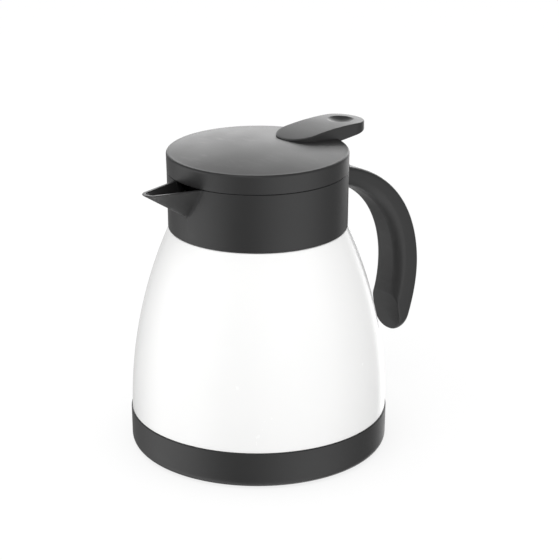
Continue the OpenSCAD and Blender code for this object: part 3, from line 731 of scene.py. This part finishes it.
# Rays run from the middle of the dish to points spaced evenly round the stadium; rings go out over the dish and the
# crowned top, round the edge, down the wall, and back in underneath.
def leverBody():
    v = lever
    sideLength = v["tail"] - v["nose"]
    around = 2 * sideLength + 2 * np.pi * v["radius"]
    s = np.linspace(0, around, 300, endpoint=False)
    quarterTurn = np.pi * v["radius"] / 2
    marks = np.cumsum([quarterTurn, sideLength, 2 * quarterTurn, sideLength])
    before = [s < mark for mark in marks]
    angle = np.select(before, [s / v["radius"], np.pi / 2, np.pi / 2 + (s - marks[1]) / v["radius"], 1.5 * np.pi],
                      1.5 * np.pi + (s - marks[3]) / v["radius"])
    back = np.select(before, [0, s - marks[0], sideLength, sideLength - (s - marks[2])], 0)
    baseX = v["tail"] - back
    nx, ny = np.cos(angle), np.sin(angle)

    def outline(inset):
        return np.stack([baseX + (v["radius"] - inset) * nx, (v["radius"] - inset) * ny], -1)

    middle = np.array([v["tail"], 0.0])
    ray = outline(0) - middle
    ray /= np.hypot(*ray.T)[:, None]
    rows = []

    def addTop(p):
        rho = np.hypot(*(p - middle).T)
        rows.append(np.column_stack([p, leverTop(p[:, 0], rho)]))

    for rho in np.concatenate([np.linspace(*rings) for rings in v["dishRings"]]):
        addTop(middle + ray * rho)
    start = middle + ray * v["dishRings"][-1][1]
    end = outline(v["edge"])
    for t in np.linspace(0, 1, 26)[1:]:
        addTop(start + (end - start) * t)
    rimTop = leverTop(outline(0)[:, 0], np.full(len(s), 20.0))    # any distance well outside the dish
    for a in np.linspace(0, np.pi / 2, 7)[1:]:
        p = outline(v["edge"] * (1 - np.sin(a)))
        rows.append(np.column_stack([p, rimTop - v["edge"] * (1 - np.cos(a))]))
    wallLow = leverUnder(*outline(0).T)
    startWall = rimTop - v["edge"]
    lowEdge = np.minimum(v["lowEdge"], np.clip(startWall - wallLow, 0.02, None) / 2)
    for t in (0.1, 0.5, 0.9, 1.0):
        rows.append(np.column_stack([outline(0), startWall + (wallLow + lowEdge - startWall) * t]))
    for a in np.linspace(0, np.pi / 2, 7)[1:]:
        p = outline(v["lowEdge"] * (1 - np.cos(a)))
        rows.append(np.column_stack([p, wallLow + lowEdge * (1 - np.sin(a))]))
    start = outline(v["lowEdge"])
    for t in np.linspace(0, 1, 40)[1:-1]:
        p = start + (middle - start) * t
        rows.append(np.column_stack([p, leverUnder(*p.T)]))
    grid = np.stack(rows)
    top = [middle[0], 0, leverTop(middle[:1], np.zeros(1))[0]]
    low = [middle[0], 0, leverUnder(middle[:1], np.zeros(1))[0]]
    return skin(grid, poles=(top, low))


makePiece("thumbLever", [leverBody()], look["satinBlackLid"], "lid", ("thumb_lever",))

plug = dict(low=131.8, radius=32.6, sealTop=136.2, flange=37.2, flangeTop=138.0, plate=146.0, plateTop=148.0,
            plateRadius=43.2, inner=30.6, floor=133.4, raised=18.0, slope=0.8, raisedBy=0.5)
p = plug
makePiece("lidPlug", [turned(roundedLine([
    [0, p["low"] + p["raisedBy"], 0], [p["raised"], p["low"] + p["raisedBy"], 0.4],
    [p["raised"] + p["slope"], p["low"], 0.4], [p["radius"], p["low"], 1.2],
    [p["radius"], p["sealTop"], 0.15], [p["flange"], p["sealTop"], 0.3], [p["flange"], p["flangeTop"], 0.4],
    [p["radius"], p["flangeTop"], 0.8], [p["radius"], p["plate"], 1.2], [p["plateRadius"], p["plate"], 0.5],
    [p["plateRadius"], p["plateTop"], 0.3], [p["inner"], p["plateTop"], 0.4], [p["inner"], p["floor"], 0.5],
    [0, p["floor"], 0]], 6), 200)], look["greyPlugPlastic"], "lid", ("lid_base",))

# Two soft lips press on the flask's rim: radius, height above the lips' edge and corner of each point under the ring.
seal = dict(inner=32.6, outer=37.6, low=133.6, top=136.2, underside=(
    (32.6, 0.5, 0.2), (34.4, 0.5, 0.3), (34.9, 0, 0.3), (35.6, 0, 0.3), (36.0, 0.5, 0.2), (36.5, 0.5, 0.2),
    (36.8, 0, 0.3), (37.35, 0, 0.3), (37.6, 1.1, 0.4)))
q = seal
sealLine = [(r, q["low"] + rise, corner) for r, rise, corner in q["underside"]]
sealLine += [(q["outer"] - 0.25, q["top"], 0.2), (q["inner"], q["top"], 0.1)]
makePiece("lidSeal", [turned(roundedLine(sealLine, 5, closed=True), 200)], look["sealSilicone"], "lid",
          ("lid_seal",))

screws = dict(ringRadius=39.5, angles=(60, 180, 300), seat=146.0, head=2.4, headHeight=1.8, shank=1.25, tip=151.2,
              slotHalf=0.42, slotLong=1.45, slotDepth=1.0, slotSoft=0.08, slotEndSoft=0.25, sides=96)


# Pan head over a polar grid: height falls with the fourth power of the radius, and a cross-shaped recess is
# sunk where either coordinate is small and the other within the slot's length.
def panHead(x0, y0):
    s = screws
    r = np.concatenate([np.linspace(0.08, 2.0, 22), np.linspace(2.07, s["head"], 7)])
    angle = np.arange(s["sides"]) * 2 * np.pi / s["sides"]
    x, y = r[:, None] * np.cos(angle), r[:, None] * np.sin(angle)
    height = s["headHeight"] * (1 - 0.75 * (r[:, None] / s["head"]) ** 4)

    def slot(across, along):
        return (np.clip((s["slotHalf"] - np.abs(across)) / s["slotSoft"], 0, 1)
                * np.clip((s["slotLong"] - np.abs(along)) / s["slotEndSoft"], 0, 1))

    z = s["seat"] - height + s["slotDepth"] * np.maximum(slot(x, y), slot(y, x))
    rows = np.stack([x + x0, y + y0, z], -1)
    shankLine = np.array([[s["head"], s["seat"]], [s["shank"], s["seat"]], [s["shank"], s["tip"]]])
    extra = np.stack([shankLine[:, :1] * np.cos(angle) + x0, shankLine[:, :1] * np.sin(angle) + y0,
                      np.repeat(shankLine[:, 1:], s["sides"], 1)], -1)
    bottom = s["seat"] - s["headHeight"] + s["slotDepth"]
    return skin(np.concatenate([rows, extra]), poles=((x0, y0, bottom), (x0, y0, s["tip"])))


spots = [math.radians(a) for a in screws["angles"]]
makePiece("lidScrews", [panHead(screws["ringRadius"] * math.cos(a), screws["ringRadius"] * math.sin(a)) for a in spots],
          look["screwSteel"], "lid", ("lid_screws",), crease=25)


# Finishes of the CAD nodes

nodeFinishes = dict(
    outer_bottom="rolledShellSteel", getter="getterAlloy", neck_ring="greyPlugPlastic", neck_seal="sealSilicone",
    handle_screws="screwSteel", hinge_pin="screwSteel", lever_screws="screwSteel", lid_insulation="closedFoam",
    # the nodes below are replaced by pieces and get the same finish
    outer_shell="glossWhitePaint", flask_floor="brushedFlaskSteel", flask_wall="brushedFlaskSteel",
    flask_neck="brushedFlaskSteel", base_cup="satinBlackBase", foot_pad="footSilicone", collar="satinBlackCollar",
    handle_grip="satinBlackHandle", handle_cover="satinBlackHandle", lid_cap="satinBlackLid",
    thumb_lever="satinBlackLid", lid_base="greyPlugPlastic", lid_seal="sealSilicone", lid_screws="screwSteel")
for node, name in nodeFinishes.items():
    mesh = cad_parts[node].data
    mesh.materials.clear()
    mesh.materials.append(look[name])
print("finishes given to", len(nodeFinishes), "nodes")


# Floor, light and camera

cameraView = dict(place=(-0.59484, -0.7089, 0.42207), forward=(0.612559, 0.712919, -0.341347), lens=124.31, sensor=36.0)
studio = dict(floorSize=9.0, floorColour=0.8, floorGlow=0.8, floorShade=0.2, skySeen=1.0, skyMirrored=0.45,
              skyLight=0.96, cardTop=0.3, cardFade=0.35, brightest=2.5)
# what gloss mirrors at each bearing: degrees to the right of the camera as seen from the carafe, and brightness
surroundings = [(-180, 0.5), (-165, 0.5), (-150, 0.35), (-128, 0.4), (-114, 1.0), (-100, 1.8), (-68, 1.85),
                (-50, 1.5), (-38, 0.85), (-25, 0.52), (-10, 0.55), (4, 0.95), (18, 1.45), (36, 1.75), (60, 1.75),
                (74, 1.4), (88, 0.75), (102, 0.45), (120, 0.35), (136, 0.4), (144, 1.2), (152, 1.7), (162, 1.8),
                (173, 1.5), (180, 0.5)]
toCamera = Vector((cameraView["place"][0], cameraView["place"][1], 0)).normalized()
toRight = Vector((-toCamera.y, toCamera.x, 0))


# Brightness by bearing: the angle of (right, towards the camera) goes through a ramp that holds the list above.
def makeBearingGlow():
    g, inp, out = newGroup("bearingGlow", [("Vector", arrow, None)], [("Strength", number)])
    angle = addNode(g, "ShaderNodeMath", operation="ARCTAN2")
    for place, direction in enumerate((toRight, toCamera)):
        part = addNode(g, "ShaderNodeVectorMath", operation="DOT_PRODUCT")
        part.inputs[1].default_value = direction
        wire(g, inp, "Vector", part, 0)
        wire(g, part, "Value", angle, place)
    share = addNode(g, "ShaderNodeMath", operation="MULTIPLY_ADD")
    share.inputs[1].default_value = 1 / (2 * math.pi)
    share.inputs[2].default_value = 0.5
    ramp = addNode(g, "ShaderNodeValToRGB")
    stops = ramp.color_ramp.elements
    stops.remove(stops[1])
    stops[0].position = 0.0
    for bearing, glow in surroundings:
        stop = stops[0] if bearing == -180 else stops.new((bearing + 180) / 360)
        level = glow / studio["brightest"]
        stop.color = (level, level, level, 1)
    strength = addNode(g, "ShaderNodeMath", operation="MULTIPLY")
    strength.inputs[1].default_value = studio["brightest"]
    wire(g, angle, 0, share, 0)
    wire(g, share, 0, ramp, "Fac")
    wire(g, ramp, "Color", strength, 0)
    wire(g, strength, 0, out, "Strength")
    return g


# Shader that differs by the kind of ray: one for light, one in reflections, one for the camera and through glass.
def pickByRay(tree, light, mirrored, seen, socket):
    paths = addNode(tree, "ShaderNodeLightPath")
    direct = addNode(tree, "ShaderNodeMath", operation="MAXIMUM")
    first = addNode(tree, "ShaderNodeMixShader")
    second = addNode(tree, "ShaderNodeMixShader")
    wire(tree, paths, "Is Camera Ray", direct, 0)
    wire(tree, paths, "Is Transmission Ray", direct, 1)
    wire(tree, paths, "Is Glossy Ray", first, 0)
    wire(tree, light, 0, first, 1)
    wire(tree, mirrored, 0, first, 2)
    wire(tree, direct, 0, second, 0)
    wire(tree, first, 0, second, 1)
    wire(tree, seen, 0, second, 2)
    tree.links.new(second.outputs[0], socket)


# Matt floor that also glows a little where it is seen, so that it meets the white background and keeps its shadow.
def glowingFloor(tree, glowStrength, shadeColour):
    glow = addNode(tree, "ShaderNodeEmission", Strength=glowStrength)
    shade = addNode(tree, "ShaderNodeBsdfDiffuse", Color=(shadeColour, shadeColour, shadeColour, 1))
    both = addNode(tree, "ShaderNodeAddShader")
    wire(tree, glow, 0, both, 0)
    wire(tree, shade, 0, both, 1)
    return both


def makeFloor():
    v = studio
    half = v["floorSize"] / 2
    mesh = bpy.data.meshes.new("studioFloor")
    mesh.from_pydata([(-half, -half, 0), (half, -half, 0), (half, half, 0), (-half, half, 0)], [], [(0, 1, 2, 3)])
    floor = bpy.data.objects.new("studioFloor", mesh)
    scene.collection.objects.link(floor)
    material = bpy.data.materials.new("paleFloor")
    material.use_nodes = True
    tree = material.node_tree
    tree.nodes.clear()
    out = addNode(tree, "ShaderNodeOutputMaterial")
    # gloss looks through the floor and mirrors the surroundings, which stand below its level too
    pickByRay(tree, glowingFloor(tree, 0.0, v["floorColour"]), addNode(tree, "ShaderNodeBsdfTransparent"),
              glowingFloor(tree, v["floorGlow"], v["floorShade"]), out.inputs["Surface"])
    mesh.materials.append(material)


def makeSky():
    world = bpy.data.worlds.new("studioSky")
    scene.world = world
    world.use_nodes = True
    tree = world.node_tree
    tree.nodes.clear()
    out = addNode(tree, "ShaderNodeOutputWorld")
    light, mirrored, seen = (addNode(tree, "ShaderNodeBackground", Color=(1, 1, 1, 1), Strength=studio[key])
                             for key in ("skyLight", "skyMirrored", "skySeen"))
    # the cards stand up to a height, above them gloss mirrors the plain sky
    place = addNode(tree, "ShaderNodeTexCoord")
    height = addNode(tree, "ShaderNodeSeparateXYZ")
    above = addNode(tree, "ShaderNodeMapRange", interpolation_type="SMOOTHSTEP")
    above.inputs["From Min"].default_value = studio["cardTop"]
    above.inputs["From Max"].default_value = studio["cardTop"] + studio["cardFade"]
    cards = addNode(tree, "ShaderNodeGroup")
    cards.node_tree = bearingGlow
    level = addNode(tree, "ShaderNodeMix")
    level.inputs["B"].default_value = studio["skyMirrored"]
    wire(tree, place, "Generated", cards, "Vector")
    wire(tree, place, "Generated", height, 0)
    wire(tree, height, "Z", above, "Value")
    wire(tree, above, 0, level, "Factor")
    wire(tree, cards, "Strength", level, "A")
    wire(tree, level, "Result", mirrored, "Strength")
    pickByRay(tree, light, mirrored, seen, out.inputs["Surface"])


bearingGlow = makeBearingGlow()
makeFloor()
makeSky()

camera = bpy.data.objects.new("photoCamera", bpy.data.cameras.new("photoCamera"))
scene.collection.objects.link(camera)
scene.camera = camera
camera.location = cameraView["place"]
camera.rotation_mode = "QUATERNION"
camera.rotation_quaternion = Vector(cameraView["forward"]).to_track_quat("-Z", "Y")
camera.data.lens = cameraView["lens"]
camera.data.sensor_width = cameraView["sensor"]
camera.data.clip_start = 0.05
camera.data.clip_end = 50.0

# turn is measured to the right of the camera as seen from the carafe, height above the floor, both in degrees
softboxes = [
    dict(name="backPanel", turn=178, height=14, distance=1.5, width=1.5, tall=0.62, glow=2.8, onlyGloss=True),
    dict(name="highKey", turn=-22, height=58, distance=1.5, width=1.1, tall=1.1, glow=1.4, onlyGloss=False),
]


def makeLights():
    aim = Vector((0, 0, 0.09))                                                 # about half the carafe's height
    for box in softboxes:
        lamp = bpy.data.lights.new(box["name"], "AREA")
        lamp.shape = "RECTANGLE"
        lamp.size = box["width"]
        lamp.size_y = box["tall"]
        lamp.energy = box["glow"] * math.pi * box["width"] * box["tall"]   # glow is the panel's own brightness
        holder = bpy.data.objects.new(box["name"], lamp)
        scene.collection.objects.link(holder)
        turn, height = math.radians(box["turn"]), math.radians(box["height"])
        flat = toCamera * math.cos(turn) + toRight * math.sin(turn)
        away = flat * math.cos(height) + Vector((0, 0, math.sin(height)))
        holder.location = aim + away * box["distance"]
        holder.rotation_mode = "QUATERNION"
        holder.rotation_quaternion = (-away).to_track_quat("-Z", "Y")
        holder.visible_camera = False
        holder.visible_diffuse = not box["onlyGloss"]


makeLights()
scene.view_settings.view_transform = "Standard"
print("stage, light and camera ready")
